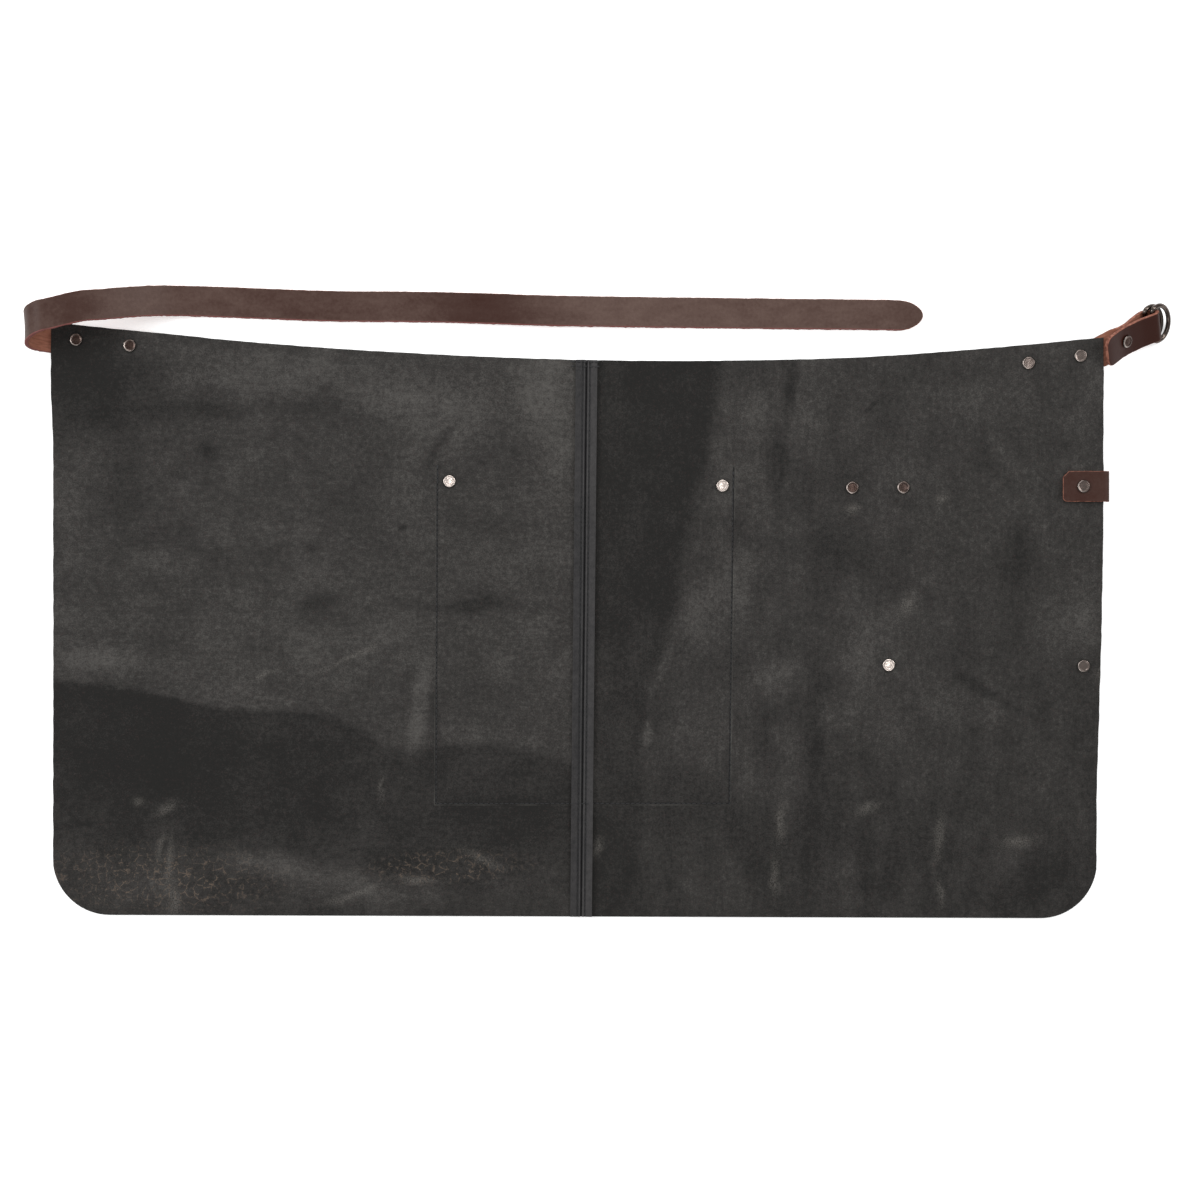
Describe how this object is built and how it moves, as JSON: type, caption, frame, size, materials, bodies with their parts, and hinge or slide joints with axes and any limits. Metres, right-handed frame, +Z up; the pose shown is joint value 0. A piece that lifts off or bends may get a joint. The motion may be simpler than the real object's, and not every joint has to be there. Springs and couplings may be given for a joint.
{
  "type": "short leather apron",
  "caption": "Short work apron of black leather with a centre seam, a front pocket, a looped tie strap, and a strap tab with two D-rings, lying back upwards.",
  "frame": {"origin": "on the front face of the pocket, at its middle; this face lies on the surface", "axes": "+X along the apron's width, towards the D-rings; +Y towards its top edge; +Z up, out of its back"},
  "size_m": [0.9481, 0.5241, 0.0461],
  "materials": {
    "black_leather": "matt flesh side, napped",
    "brown_leather": "satin grain side",
    "ring_metal": "dark nickel wire",
    "rivet_metal": "dark nickel, worn bright at the rim"
  },
  "bodies": {
    "apron": {"left_panel": "black_leather", "right_panel": "black_leather", "pocket": "black_leather", "long_strap": "brown_leather", "ring_tab": "brown_leather", "upper_loop_strap": "brown_leather", "lower_loop_strap": "brown_leather", "rivet_strap_edge": "rivet_metal", "rivet_strap_inner": "rivet_metal", "rivet_tab_edge": "rivet_metal", "rivet_tab_inner": "rivet_metal", "rivet_pocket_left": "rivet_metal", "rivet_pocket_right": "rivet_metal", "rivet_upper_inner": "rivet_metal", "rivet_upper_middle": "rivet_metal", "rivet_upper_edge": "rivet_metal", "rivet_lower_inner": "rivet_metal", "rivet_lower_edge": "rivet_metal", "rivet_ring_fold": "rivet_metal"},
    "inner_ring": {"d_ring_inner": "ring_metal"},
    "outer_ring": {"d_ring_outer": "ring_metal"}
  },
  "joints": [
    {"name": "outer_ring_swing", "type": "hinge", "parent": "apron", "child": "outer_ring", "pos_m": [0.47046, 0.25515, 0.01527], "axis": [0.1755, -0.859, -0.4809], "range_deg": [0, 100]},
    {"name": "inner_ring_swing", "type": "hinge", "parent": "apron", "child": "inner_ring", "pos_m": [0.46472, 0.25473, 0.01393], "axis": [0.1755, -0.859, -0.4809], "range_deg": [-60, 0]}
  ]
}
